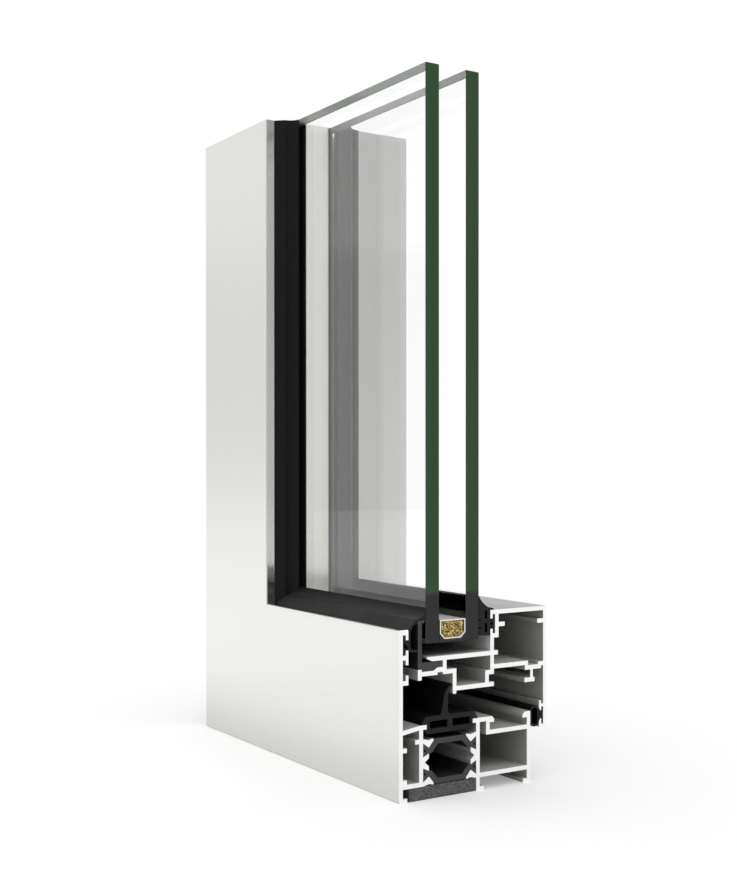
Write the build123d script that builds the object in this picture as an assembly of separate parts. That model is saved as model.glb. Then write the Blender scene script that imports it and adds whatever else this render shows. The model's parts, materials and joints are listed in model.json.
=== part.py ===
from build123d import *

import os

# Cut-away corner of a thermally broken aluminium window whose sash hides behind the frame.
# The sill and the left jamb meet in a mitre, and both are sawn square so that their section shows.
# +X runs along the sill, +Y from the outside face into the room and +Z up.
# Every section is drawn for the sill: across is depth from the outside face, up is height.

# Overall sizes, in millimetres
SILL_LENGTH = 168.25      # corner to the sawn end of the sill
JAMB_HEIGHT = 269.4       # corner to the sawn end of the jamb and the glass
FRAME_DEPTH = 60.0        # outside face to room face of the fixed frame
SASH_PROUD = 8.0          # how far the sash stands in front of the frame, in the room

# Extruded walls
WALL = 1.65               # aluminium walls
LIP = 1.1                 # thin aluminium lips that hold gaskets
EDGE = 0.45               # radius on the long outside edges

# Fixed frame
FRAME_HEIGHT = 27.3       # top of the frame's chambers
FOOT_HEIGHT = 4.9         # underside of the chambers above the wall opening
FOOT_LIP = 1.5            # height of the lips along the feet
FOOT_REACH = 1.9          # how far those lips stand in from the feet
OUTER_DEPTH = 10.4        # depth of the outer half's chamber
DRAIN_FALL = 1.3          # fall of the rebate floor to the outside
RIB_REACH = 1.75          # ribs that guide the corner cleats
RIB_HIGH = 22.3           # top of the rib on the chamber wall
RIB_LOW = 19.75           # top of the rib on the outside leaf
BREAK_LIP = 1.6           # lips over the thermal break that the centre gasket grips
CHANNEL_INSET = 4.6       # inner half's face to the web of its hardware channel
CHANNEL_DROP = 5.1        # depth of that channel below the frame's top
CHANNEL_LIP = 2.1         # reach of the channel's lips
CHANNEL_LIP_HEIGHT = 2.25  # height of the channel's lips
CHANNEL_BEVEL = 1.0       # bevel on the tips of the channel's lips

# Outside leaf, from its top edge down
LEAF_RISE = 10.65         # leaf above the glazing bed
HOOK_REACH = 4.05         # depth of the hook along the top
HOOK_WALL = 1.9
HOOK_DROP = 3.75          # length of the hook's lip
GROOVE_MOUTH = 3.75       # opening of the two gasket grooves
TEE_LIP = 5.3             # lip between the two grooves
ELL_LIP = 3.6             # lip below the lower groove

# Thermal break, measured across from the aluminium walls and in from the backs of the claws
BREAK_WIDTH = 23.9        # clear width between the two halves
BREAK_ROOM = 1.6          # air between the claws and the centre gasket
CLAW_REACH = 4.6          # rolled claws that close over the strips
CLAW_WAIST = 0.6          # hollow in a claw's back
CLAW_SHY = 0.2            # claw's blunt nose, in from its back
CLAW_NOSE = 0.75          # height of that nose
GRIP_NECK = 2.55          # wall to the necks where the strips are pinched
NECK_INSET = 3.35         # claw's back to the neck
NECK = 2.1                # thickness of a strip in the neck
POCKET_INSET = 1.45       # claw's back to the pocket, at the wall
POCKET = 5.2              # height of the pocket, at the wall
FORK_DEPTH = 0.8          # wall to the bottom of the fork on the axis
FORK_WALL = 1.7           # height of the prongs at their tips
STRIP_INSET = 0.35        # claw's back to the strip's face
STRIP_WALL = 2.0          # strip's thickness
STRIP_CLEAR = 0.15        # strip's legs clear of the claws
STRIP_SHOULDER = 1.2      # strip's legs past the tips of the fork
WIRE_SLOT = 0.8           # slot for the sealing wire in each head of a strip
WIRE_INSET = 0.4          # frame's wall to that slot

# Foam along the wall side
FOAM_INSET = 4.4          # outside face to the foam

# Centre gasket
BAR_WALL = 1.85           # upper and lower bars
BAR_RISE = 1.1            # upper bar's underside above the aluminium lips
SIDE_WALL = 1.35
MIDDLE_WALL = 2.3
OVER_GRIP = 2.5           # reach over the aluminium lips
UNDER_GRIP = 1.0          # reach under the aluminium lips
FIN_HEIGHT = 11.0         # fin's tip above the upper bar
FIN_ROOT = 4.9            # height over which its outside spreads
FIN_SPREAD = 1.4          # spread at the bar, outside
FIN_FLARE = 0.9           # bevel at the bar, inside
FIN_WALL = 2.1            # width of its stem
FIN_TIP = 0.8             # edge that meets the sash
FIN_TURN = 2.5            # tip back to where the stem turns towards the sash
FIN_LEAN = 1.25           # middle of the break to the sash wall that the fin meets
FIN_BACK = 3.2            # that wall back to the middle of the fin's stem

# Sash, upward from the frame's chambers
HARDWARE_GAP = 11.3       # frame's top to the underside of the hardware lips
HARDWARE_DEPTH = 6.6      # hardware lips to the underside of the sash floor
BED_RISE = 6.85           # sash floor's underside to the glazing bed
SASH_RISE = 15.45         # glazing bed to the sash's top
TOE_DROP = 1.4            # toe below the sash floor
TOE_RISE = 0.85           # toe above the sash floor
KEEPER_FAR = 11.0         # toe to the web behind the keeper
KEEPER_LONG = 2.35        # level part of the keeper
KEEPER_RAMP = 1.8         # ramp that the holder's foot snaps over
KEEPER_RISE = 1.1
KEEPER_NOTCH = 0.9        # notch under the keeper
BED_TIP = 3.9             # toe to the bed's thin tip
BED_TAPER = 2.4           # length of the bed's taper
BED_TIP_WALL = 0.6
LEG_DROP = 1.2            # leg below the hardware lips
LEG_ROUND = 0.45          # rounding of the leg's end as a share of its wall
CHANNEL_STEP = 2.4        # step from the main web to the hardware channel's web
CHANNEL_LEDGE = 2.0       # main web's foot below the sash floor's underside
STUB = 1.9                # bed's stub beyond the main web
STUB_RIB = 2.9            # cleat ribs in the sash chamber
RIB_DROP = 4.8            # sash's top to the top of those ribs
GLAZING_GROOVE = 1.1      # depth of the glazing gasket's groove behind its lips
GLAZING_LOW = 3.25        # top lip's height
GLAZING_MOUTH = 3.9       # opening between the lips
GLAZING_SILL = 8.9        # sash's top to the groove's floor
FLOOR_NEAR = 1.1          # frame's room face back to the end of the high floor
FLOOR_LAP = 1.5           # overlap of the high and low floors
FLOOR_FALL = 1.85         # drop from the high floor to the low one
FLOOR_FAR = 5.3           # frame's room face to the end of the low floor
FLOOR_STEP = 1.05         # rise from the low floor to the one at the room wall
TEE_STEM = 1.3            # stem of the hardware tee
TEE_BACK = 2.8            # tee's flange towards the outside
TEE_FRONT = 2.1           # tee's flange towards the room
OVERLAP = 6.7             # sash's room wall below the frame's top
SEAL_POCKET = 0.95        # weatherstrip groove behind its lips
SEAL_LIP_HIGH = 3.8       # upper lip
SEAL_LIP_LOW = 2.1        # lower lip above the groove's floor
SEAL_MOUTH = 3.2          # opening between the lips
SEAL_WALL = 1.1           # groove's floor and roof
SEAL_BARB = 1.4           # height of the groove above and below the opening
SEAL_BEVEL = 0.6          # bevel of the lips' tips, on the bulb's side
SEAL_BEVEL_RISE = 1.1     # height of that bevel

# Glass unit
PANE = 6.0
CAVITY = 12.0
BLOCK_GAP = 4.9           # glazing bed to the glass edge
SPACER_LIFT = 1.2         # glass edge to the spacer
SPACER_HEIGHT = 7.05
SPACER_BEVEL = 2.0
SPACER_WALL = 0.45
BUTYL = 0.3               # seal between the spacer and the panes

# Glass holder and glazing gaskets
GASKET_ROOM = 4.1         # leaf's hook to the glass holder
HOLDER_WALL = 1.75
HOLDER_RISE = 2.9         # holder's top above the leaf
HOLDER_CAP = 0.9
HOLDER_CAP_REACH = 1.1    # cap beyond the holder's leg
HOLDER_CLEAR = 0.2        # holder's foot below the glazing bed
GLASS_GAP = 1.7           # holder's leg to the glass
SKIN = 0.9                # outer gasket's walls
NECK_CLEAR = 0.4          # gasket necks in their groove openings
FOOT_CLEAR = 0.1          # gasket feet in their grooves
OUTER_BARB = 0.6          # reach of the outer gasket's foot behind its lips
CLIP_WALL = 0.35          # wall around the hollow in that foot
INNER_BARB = 1.5          # reach of the inner gasket's foot behind its lips
SKIN_TOP = 4.6            # outer gasket on the glass, above the holder
SKIN_CURL = 1.6           # glass to the middle of the skin's curl
SKIN_KNEE = 1.0           # skin over the holder's outside edge
INNER_GASKET = 5.3        # glass to the sash's gasket groove
INNER_GASKET_LIFT = 1.4   # glass edge to the inner gasket's foot
FLAP_REACH = 1.5          # inner gasket's flap over the sash's top
FLAP_WALL = 0.6
BEAD_RISE = 5.5           # inner gasket on the glass, above the sash's top
HOLLOW = 1.1              # width of the inner gasket's hollows
HOLLOW_INSET = 2.7        # glass to those hollows
NECK_HOLLOW = 0.8         # height of the hollow in the inner gasket's neck
GLASS_GROOVE = 0.8        # grooves in the inner gasket's face on the glass
GROOVE_DROP = 3.1         # sash's top down to the upper one
GROOVE_PITCH = 3.0        # upper one down to the lower
COVE_BULGE = 1.5          # glass to the middle of the cove under the bead's tip
SEAL_SKIN = 0.8           # weatherstrip's wall
SEAL_HANG = 0.4           # bulb's underside above the sash's lower edge
SEAL_ROUND = 0.45         # bulb's rounding as a share of its width
SEAL_HOLLOW = 0.5         # height of the slit in the weatherstrip's neck

# Depths that follow from the sizes above
inner_face = OUTER_DEPTH + BREAK_WIDTH
break_middle = OUTER_DEPTH + BREAK_WIDTH / 2
room_face = FRAME_DEPTH + SASH_PROUD
holder_face = HOOK_REACH + GASKET_ROOM
outer_pane = holder_face + HOLDER_WALL + GLASS_GAP
cavity_face = outer_pane + PANE
inner_pane = cavity_face + CAVITY
glass_back = inner_pane + PANE
sash_web = glass_back + INNER_GASKET
fin_wall = break_middle + FIN_LEAN
outer_lip = OUTER_DEPTH + BREAK_LIP
inner_lip = inner_face - BREAK_LIP
leaf_groove = HOOK_REACH - LIP
glazing_back = sash_web + LIP + GLAZING_GROOVE
seal_lip = room_face - WALL - SEAL_POCKET - LIP
keeper_web = holder_face + KEEPER_FAR

# Heights that follow from the sizes above
claw_root = (FRAME_HEIGHT - WALL - BAR_WALL - BREAK_ROOM - FOOT_HEIGHT) / 2
break_axis = FOOT_HEIGHT + claw_root
neck_far = claw_root - NECK_INSET
neck_near = neck_far - NECK
pocket_far = claw_root - POCKET_INSET
pocket_near = pocket_far - POCKET
claw_tip = claw_root - CLAW_SHY - CLAW_NOSE
hardware_low = FRAME_HEIGHT + HARDWARE_GAP
floor_low = hardware_low + HARDWARE_DEPTH
sash_floor = floor_low + WALL
bed = floor_low + BED_RISE
sash_top = bed + SASH_RISE
face_height = bed + LEAF_RISE
hook_low = face_height - HOOK_DROP
tee_top = hook_low - GROOVE_MOUTH
tee_low = tee_top - TEE_LIP
holder_top = face_height + HOLDER_RISE
glass_edge = bed + BLOCK_GAP
spacer_low = glass_edge + SPACER_LIFT
spacer_top = spacer_low + SPACER_HEIGHT
glazing_top = sash_top - GLAZING_LOW
glazing_low = glazing_top - GLAZING_MOUTH
seal_low = FRAME_HEIGHT - OVERLAP
seal_mouth_low = seal_low + SEAL_WALL + SEAL_LIP_LOW
seal_mouth_top = seal_mouth_low + SEAL_MOUTH


def upright(left, low, high, thickness=WALL):
    """Upright wall of a section, by its left face and its two ends."""
    return Pos(left + thickness / 2, (low + high) / 2) * Rectangle(thickness, high - low)


def level(top, left, right, thickness=WALL):
    """Level wall of a section, by its top face and its two ends."""
    return Pos((left + right) / 2, top - thickness / 2) * Rectangle(right - left, thickness)


def facet(*corners):
    """Sloped piece of a section, by its corners, whichever way round they run."""
    face = Face(Wire.make_polygon(corners))
    return Sketch() + (face if face.normal_at().Z > 0 else -face)


def eased(section, radius, *corners):
    """The section with the corners that lie at the given points rounded."""
    return fillet([section.vertices().sort_by_distance(corner)[0] for corner in corners], radius)


def grips(face, side):
    """Fork and rolled claws that pinch both strips of the break, on a wall's face."""
    claw = (
        (0, pocket_far),
        (GRIP_NECK, neck_far),
        (CLAW_REACH, claw_tip),
        (CLAW_REACH, claw_tip + CLAW_NOSE),
        (GRIP_NECK, claw_root - CLAW_WAIST),
        (0, claw_root),
    )
    prong = (
        (0, 0),
        (FORK_DEPTH, 0),
        (GRIP_NECK, neck_near - FORK_WALL),
        (GRIP_NECK, neck_near),
        (0, pocket_near),
    )
    pieces = Sketch()
    for outline in (claw, prong):
        for way in (1, -1):
            pieces += facet(*[(face + side * out, break_axis + way * off) for out, off in outline])
    return pieces


def outer_frame_section():
    """Outer half: leaf with two gasket grooves, sloped rebate and one chamber."""
    ell_low = tee_low - GROOVE_MOUTH - ELL_LIP
    wall_face = OUTER_DEPTH - WALL
    chamber_floor = FOOT_HEIGHT + WALL
    rebate_low = FRAME_HEIGHT - DRAIN_FALL
    section = upright(0, 0, face_height)
    section += level(face_height, 0, HOOK_REACH, HOOK_WALL)
    section += upright(leaf_groove, hook_low, face_height, LIP)
    section += upright(leaf_groove, tee_low, tee_top, LIP)
    section += level((tee_low + tee_top + WALL) / 2, 0, HOOK_REACH)
    section += upright(leaf_groove, ell_low, ell_low + ELL_LIP, LIP)
    section += level(ell_low + WALL, 0, HOOK_REACH)
    section += facet(
        (0, rebate_low - WALL),
        (wall_face, FRAME_HEIGHT - WALL),
        (outer_lip, FRAME_HEIGHT - WALL),
        (outer_lip, FRAME_HEIGHT),
        (wall_face, FRAME_HEIGHT),
        (0, rebate_low),
    )
    section += upright(wall_face, FOOT_HEIGHT, FRAME_HEIGHT)
    section += level(chamber_floor, 0, OUTER_DEPTH)
    section += level(chamber_floor + WALL, 0, WALL + RIB_REACH)
    section += level(RIB_LOW, 0, WALL + RIB_REACH)
    section += level(RIB_HIGH, wall_face - RIB_REACH, OUTER_DEPTH)
    section += level(FOOT_LIP, 0, WALL + FOOT_REACH, FOOT_LIP)
    section = eased(section, EDGE, (0, 0), (0, face_height), (HOOK_REACH, face_height))
    return section + grips(OUTER_DEPTH, 1)


def inner_frame_section():
    """Inner half: one chamber under a hardware channel with bevelled lips."""
    channel_web = inner_face + CHANNEL_INSET
    room_wall = FRAME_DEPTH - WALL
    lip_low = FRAME_HEIGHT - CHANNEL_LIP_HEIGHT
    section = upright(inner_face, 0, FRAME_HEIGHT)
    section += level(FRAME_HEIGHT, inner_lip, channel_web + WALL)
    section += upright(channel_web, FRAME_HEIGHT - CHANNEL_DROP - WALL, FRAME_HEIGHT)
    section += level(FRAME_HEIGHT - CHANNEL_DROP, channel_web, FRAME_DEPTH)
    section += upright(room_wall, 0, FRAME_HEIGHT)
    for root, side in ((channel_web + WALL, 1), (room_wall, -1)):
        section += facet(
            (root, FRAME_HEIGHT),
            (root, lip_low),
            (root + side * CHANNEL_LIP, lip_low),
            (root + side * CHANNEL_LIP, FRAME_HEIGHT - CHANNEL_BEVEL),
            (root + side * (CHANNEL_LIP - CHANNEL_BEVEL), FRAME_HEIGHT),
        )
    section += level(FOOT_HEIGHT + WALL, inner_face, FRAME_DEPTH)
    section += level(FOOT_LIP, inner_face, inner_face + WALL + FOOT_REACH, FOOT_LIP)
    section += level(FOOT_LIP, room_wall - FOOT_REACH, FRAME_DEPTH, FOOT_LIP)
    return section + grips(inner_face, -1)


def strip_section(way):
    """One polyamide strip: slotted dovetail heads in the pockets, legs and a flat; way is up or down."""
    far = claw_root - STRIP_INSET
    near = far - STRIP_WALL
    lean = (CLAW_REACH - GRIP_NECK) / (claw_tip - neck_far)
    far_bend = GRIP_NECK + (far - neck_far) * lean + STRIP_CLEAR
    near_bend = GRIP_NECK + (near - neck_near) * lean + STRIP_CLEAR
    near_side = [
        (0, pocket_near),
        (GRIP_NECK, neck_near),
        (GRIP_NECK + STRIP_SHOULDER, neck_near),
        (near_bend + STRIP_SHOULDER, near),
    ]
    far_side = [(far_bend, far), (GRIP_NECK, neck_far), (0, pocket_far)]
    outline = [(OUTER_DEPTH + out, off) for out, off in near_side]
    outline += [(inner_face - out, off) for out, off in reversed(near_side)]
    outline += [(inner_face - out, off) for out, off in reversed(far_side)]
    outline += [(OUTER_DEPTH + out, off) for out, off in far_side]
    section = facet(*[(depth, break_axis + way * off) for depth, off in outline])
    slot = break_axis + way * (neck_near + neck_far) / 2
    for left in (OUTER_DEPTH + WIRE_INSET, inner_face - WIRE_INSET - WIRE_SLOT):
        section -= upright(left, slot - WIRE_SLOT / 2, slot + WIRE_SLOT / 2, WIRE_SLOT)
    return section


def wall_foam_section():
    """Foam pad under the thermal break, against the wall opening."""
    return level(FOOT_HEIGHT, FOAM_INSET, inner_face, FOOT_HEIGHT)


def centre_gasket_section():
    """Hollow gasket that clips over both aluminium lips, with a fin that meets the sash."""
    under = FRAME_HEIGHT - WALL
    low = under - BAR_WALL
    bar_low = FRAME_HEIGHT + BAR_RISE
    bar_top = bar_low + BAR_WALL
    tip = bar_top + FIN_HEIGHT
    stem = fin_wall - FIN_BACK
    section = facet(
        (outer_lip - OVER_GRIP, FRAME_HEIGHT),
        (inner_lip + OVER_GRIP, FRAME_HEIGHT),
        (inner_lip + OVER_GRIP - BAR_WALL, bar_top),
        (outer_lip - OVER_GRIP + BAR_WALL, bar_top),
    )
    section += upright(outer_lip, low, bar_top, inner_lip - outer_lip)
    section += facet(
        (outer_lip - UNDER_GRIP, under),
        (outer_lip, low),
        (inner_lip, low),
        (inner_lip + UNDER_GRIP, under),
    )
    for left, right in (
        (outer_lip + SIDE_WALL, break_middle - MIDDLE_WALL / 2),
        (break_middle + MIDDLE_WALL / 2, inner_lip - SIDE_WALL),
    ):
        section -= level(bar_low, left, right, bar_low - under)
    near_side = Polyline(
        (stem + FIN_WALL / 2 + FIN_FLARE, bar_top),
        (stem + FIN_WALL / 2, bar_top + FIN_FLARE),
        (stem + FIN_WALL / 2, tip - FIN_TURN - FIN_TIP),
    )
    near_turn = TangentArc(near_side @ 1, (fin_wall, tip - FIN_TIP), tangent=(0, 1))
    far_side = Spline(
        (fin_wall, tip),
        (stem, tip - FIN_TURN),
        (stem - FIN_WALL / 2, bar_top + FIN_ROOT),
        (stem - FIN_WALL / 2 - FIN_SPREAD, bar_top),
    )
    edge = Line(near_turn @ 1, far_side @ 0)
    root = Line(far_side @ 1, near_side @ 0)
    return section + make_face([near_side, near_turn, edge, far_side, root])


def sash_section():
    """Sash: keeper and bed for the glass, hardware channel, room chamber and two gasket grooves."""
    ramp_end = keeper_web - KEEPER_LONG
    ledge_low = floor_low - CHANNEL_LEDGE
    groove_floor = sash_top - GLAZING_SILL
    room_wall = room_face - WALL
    drop_floor = sash_floor - FLOOR_FALL
    drop_low = drop_floor - WALL
    lap_left = FRAME_DEPTH - FLOOR_NEAR - FLOOR_LAP
    lap_right = FRAME_DEPTH + FLOOR_FAR - FLOOR_LAP
    seal_roof = seal_mouth_top + SEAL_BARB + SEAL_WALL
    # Toe, keeper and bed
    section = upright(holder_face, floor_low - TOE_DROP, sash_floor + TOE_RISE)
    section += level(sash_floor, holder_face, fin_wall + WALL)
    section += facet(
        (ramp_end - KEEPER_RAMP, sash_floor),
        (keeper_web, sash_floor),
        (keeper_web, sash_floor + KEEPER_RISE),
        (ramp_end, sash_floor + KEEPER_RISE),
    )
    section -= level(floor_low + KEEPER_NOTCH, ramp_end, keeper_web, KEEPER_NOTCH)
    section += upright(keeper_web, floor_low, bed)
    section += facet(
        (holder_face + BED_TIP, bed - BED_TIP_WALL),
        (holder_face + BED_TIP + BED_TAPER, bed - WALL),
        (sash_web + WALL + STUB, bed - WALL),
        (sash_web + WALL + STUB, bed),
        (holder_face + BED_TIP, bed),
    )
    # Leg, hardware channel and main web
    section += upright(fin_wall, hardware_low - LEG_DROP, sash_floor)
    section += level(hardware_low + WALL, fin_wall, sash_web + WALL)
    section += upright(sash_web - CHANNEL_STEP, hardware_low, ledge_low + WALL)
    section += level(ledge_low + WALL, sash_web - CHANNEL_STEP, sash_web + WALL)
    section += upright(sash_web, ledge_low, groove_floor)
    # Glazing gasket groove and top
    section += level(groove_floor, sash_web, glazing_back + WALL)
    section += upright(glazing_back, groove_floor - WALL, sash_top)
    section += upright(sash_web, groove_floor - WALL, glazing_low, LIP)
    section += upright(sash_web, glazing_top, sash_top, LIP)
    section += level(sash_top, sash_web, room_face)
    section += level(sash_top - RIB_DROP, glazing_back, glazing_back + WALL + STUB_RIB)
    # Room wall, stepped floor and hardware tee
    section += upright(room_wall, seal_low, sash_top)
    section += level(sash_top - RIB_DROP, room_wall - STUB_RIB, room_face)
    section += level(sash_floor, sash_web, lap_left + FLOOR_LAP)
    section += upright(lap_left, drop_low, sash_floor, FLOOR_LAP)
    section += level(drop_floor, lap_left, lap_right + FLOOR_LAP)
    section += upright(lap_right, drop_low, drop_floor + FLOOR_STEP, FLOOR_LAP)
    section += level(drop_floor + FLOOR_STEP, lap_right, room_face)
    section += upright(FRAME_DEPTH, hardware_low, drop_floor, TEE_STEM)
    section += level(hardware_low + WALL, FRAME_DEPTH - TEE_BACK, FRAME_DEPTH + TEE_FRONT)
    # Weatherstrip groove
    section += level(seal_low + SEAL_WALL, seal_lip, room_face, SEAL_WALL)
    for root, tip, way in (
        (seal_low, seal_mouth_low, -1),
        (seal_mouth_top + SEAL_LIP_HIGH, seal_mouth_top, 1),
    ):
        section += facet(
            (seal_lip, root),
            (seal_lip + LIP, root),
            (seal_lip + LIP, tip),
            (seal_lip + SEAL_BEVEL, tip),
            (seal_lip, tip + way * SEAL_BEVEL_RISE),
        )
    section += level(seal_roof, seal_lip, room_face, SEAL_WALL)
    section = eased(section, EDGE, (room_face, seal_low), (room_face, sash_top))
    leg_low = hardware_low - LEG_DROP
    return eased(section, LEG_ROUND * WALL, (fin_wall, leg_low), (fin_wall + WALL, leg_low))


def glass_holder_section():
    """Clip-in polymer bead: a leg outside the glass and a foot snapped behind the keeper."""
    toe_back = holder_face + WALL
    ramp_end = keeper_web - KEEPER_LONG
    foot_top = bed - WALL - HOLDER_CLEAR
    section = upright(holder_face, sash_floor + TOE_RISE, holder_top, HOLDER_WALL)
    section += level(holder_top, holder_face, holder_face + HOLDER_WALL + HOLDER_CAP_REACH, HOLDER_CAP)
    return section + facet(
        (toe_back, sash_floor),
        (ramp_end - KEEPER_RAMP, sash_floor),
        (ramp_end, sash_floor + KEEPER_RISE),
        (keeper_web - HOLDER_CLEAR, sash_floor + KEEPER_RISE),
        (keeper_web - HOLDER_CLEAR, foot_top),
        (toe_back, foot_top),
    )


def outer_gasket_section():
    """Gasket in the leaf's upper groove: a skin up to the glass and a lip to the holder."""
    back = HOOK_REACH + SKIN
    neck_top = hook_low - NECK_CLEAR
    neck_low = tee_top + NECK_CLEAR
    knee = holder_face - SKIN
    skin = Polyline(
        (outer_pane, holder_top + SKIN_TOP),
        (outer_pane, holder_top),
        (holder_face, holder_top),
        (holder_face, holder_top - SKIN_KNEE),
        (knee - SKIN_KNEE, holder_top - SKIN_KNEE - SKIN / 2),
        (back, face_height - SKIN),
        (back, neck_top),
        (HOOK_REACH, neck_top),
        (HOOK_REACH, face_height),
        (knee, holder_top + SKIN / 2),
    )
    curl = ThreePointArc(
        (knee, holder_top + SKIN / 2),
        (outer_pane - SKIN_CURL, holder_top + SKIN_CURL),
        (outer_pane, holder_top + SKIN_TOP),
    )
    section = make_face([skin, curl])
    section += level(neck_top, leaf_groove, back, neck_top - neck_low)
    foot_left = WALL + FOOT_CLEAR
    section += upright(foot_left, tee_top - OUTER_BARB, hook_low + OUTER_BARB, leaf_groove - foot_left)
    section -= facet(
        (foot_left + CLIP_WALL, neck_top),
        (foot_left + CLIP_WALL, neck_low + CLIP_WALL),
        (HOOK_REACH, neck_low + CLIP_WALL),
    )
    return section + facet(
        (back, neck_low + SKIN),
        (HOOK_REACH, neck_low),
        (back, tee_top - SKIN),
        (holder_face, tee_top - SKIN),
        (holder_face, tee_top),
        (back + SKIN / 2, tee_top),
    )


def inner_gasket_section():
    """Wedge gasket between the glass and the sash, with a flap over the sash's top."""
    neck_top = glazing_top - NECK_CLEAR
    neck_low = glazing_low + NECK_CLEAR
    low = glass_edge + INNER_GASKET_LIFT
    flap_end = sash_web + FLAP_REACH
    flap_top = sash_top + FLAP_WALL
    body = Polyline(
        (glass_back, sash_top + BEAD_RISE),
        (glass_back, low),
        (sash_web, low - FLAP_WALL),
        (sash_web, sash_top),
        (flap_end, sash_top),
        (flap_end, flap_top),
        (sash_web - LIP, flap_top + FLAP_WALL),
    )
    cove = ThreePointArc(
        (sash_web - LIP, flap_top + FLAP_WALL),
        (glass_back + COVE_BULGE, flap_top + BEAD_RISE / 2),
        (glass_back, sash_top + BEAD_RISE),
    )
    section = make_face([body, cove])
    section += level(neck_top, sash_web, sash_web + LIP, neck_top - neck_low)
    foot_left = sash_web + LIP
    foot_wall = GLAZING_GROOVE - FOOT_CLEAR
    section += upright(foot_left, glazing_low - INNER_BARB, glazing_top + INNER_BARB, foot_wall)
    neck_middle = (neck_top + neck_low) / 2
    section -= level(neck_middle + NECK_HOLLOW / 2, sash_web, foot_left, NECK_HOLLOW)
    for drop in (GROOVE_DROP, GROOVE_DROP + GROOVE_PITCH):
        section -= level(sash_top - drop, glass_back, glass_back + GLASS_GROOVE, GLASS_GROOVE)
    hollow = glass_back + HOLLOW_INSET
    section -= upright(hollow, glazing_top, sash_top, HOLLOW)
    return section - upright(hollow, glazing_low - HOLLOW, neck_top - HOLLOW, HOLLOW)


def weatherstrip_section():
    """Hollow bulb pressed on the frame's room face, with its foot in the sash groove."""
    width = seal_lip - FRAME_DEPTH
    bulb_low = seal_low + SEAL_HANG
    bulb_top = seal_mouth_top + SEAL_LIP_LOW
    centre = Pos(FRAME_DEPTH + width / 2, (bulb_low + bulb_top) / 2)
    rounding = width * SEAL_ROUND
    section = centre * RectangleRounded(width, bulb_top - bulb_low, rounding)
    section -= centre * RectangleRounded(
        width - 2 * SEAL_SKIN, bulb_top - bulb_low - 2 * SEAL_SKIN, rounding - SEAL_SKIN
    )
    neck_top = seal_mouth_top - FOOT_CLEAR
    neck_low = seal_mouth_low + FOOT_CLEAR
    foot_left = seal_lip + LIP
    neck_left = seal_lip - SEAL_SKIN / 2
    section += level(neck_top, neck_left, foot_left, neck_top - neck_low)
    for end, way in ((neck_low, -1), (neck_top, 1)):
        section += facet(
            (neck_left, end), (seal_lip + SEAL_BEVEL, end), (neck_left, end + way * SEAL_BEVEL_RISE)
        )
    foot_low = seal_mouth_low - SEAL_BARB + FOOT_CLEAR
    foot_top = seal_mouth_top + SEAL_BARB - FOOT_CLEAR
    section += upright(foot_left, foot_low, foot_top, SEAL_POCKET - FOOT_CLEAR)
    neck_middle = (neck_top + neck_low) / 2
    return section - level(neck_middle + SEAL_HOLLOW / 2, seal_lip, foot_left, SEAL_HOLLOW)


def spacer_outline():
    """Spacer bar between the panes, bevelled on its outer corners."""
    left = cavity_face + BUTYL
    right = inner_pane - BUTYL
    return facet(
        (left, spacer_low + SPACER_BEVEL),
        (left + SPACER_BEVEL, spacer_low),
        (right - SPACER_BEVEL, spacer_low),
        (right, spacer_low + SPACER_BEVEL),
        (right, spacer_top),
        (left, spacer_top),
    )


def desiccant_section():
    """Beads that fill the spacer."""
    return offset(spacer_outline(), -SPACER_WALL, kind=Kind.INTERSECTION)


def edge_seal_section():
    """Sealant along the glass edge, under and beside the spacer."""
    return level(spacer_top, cavity_face, inner_pane, spacer_top - glass_edge) - spacer_outline()


MITRE = Plane(origin=(0, 0, 0), x_dir=(0, 1, 0), z_dir=(1, 0, -1))
CENTRE = Pos(-SILL_LENGTH / 2, -room_face / 2, 0)


def member(section, length):
    """A section drawn out along the sill and mitred at the corner."""
    return split(extrude(Plane.YZ * section, length, dir=(1, 0, 0)), bisect_by=MITRE, keep=Keep.TOP)


def pane(face):
    """A pane, sawn flush with the ends of the sill and the jamb."""
    blank = Box(SILL_LENGTH - glass_edge, PANE, JAMB_HEIGHT - glass_edge, align=(Align.MIN,) * 3)
    return Pos(glass_edge, face, glass_edge) * blank


sections = {
    "outer_frame": outer_frame_section(),
    "inner_frame": inner_frame_section(),
    "sash_side_break": strip_section(1),
    "wall_side_break": strip_section(-1),
    "wall_foam": wall_foam_section(),
    "centre_gasket": centre_gasket_section(),
    "sash": sash_section(),
    "glass_holder": glass_holder_section(),
    "outer_glazing_gasket": outer_gasket_section(),
    "inner_glazing_gasket": inner_gasket_section(),
    "weatherstrip": weatherstrip_section(),
    "spacer": spacer_outline() - desiccant_section(),
    "desiccant": desiccant_section(),
    "edge_seal": edge_seal_section(),
}

nodes = {"outer_pane": pane(outer_pane), "inner_pane": pane(inner_pane)}
for name, section in sections.items():
    nodes["sill_" + name] = member(section, SILL_LENGTH)
    nodes["jamb_" + name] = mirror(member(section, JAMB_HEIGHT), about=MITRE)

os.makedirs("parts", exist_ok=True)
for name, solid in nodes.items():
    export_step(CENTRE * solid, f"parts/{name}.step")
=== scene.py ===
# %% [markdown]
# # A cut-away window corner
# This is the lower left corner of an aluminium window, sawn off so that a buyer can look into it: a fixed
# frame with a thermal break, a sash that hides behind it, and a double glazed unit with its spacer. The
# solids come from the CAD model and stay where they are. This lesson gives them their finishes, fills the
# spacer with real beads, and sets up the camera and the light.

import json
import math
import random

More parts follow.
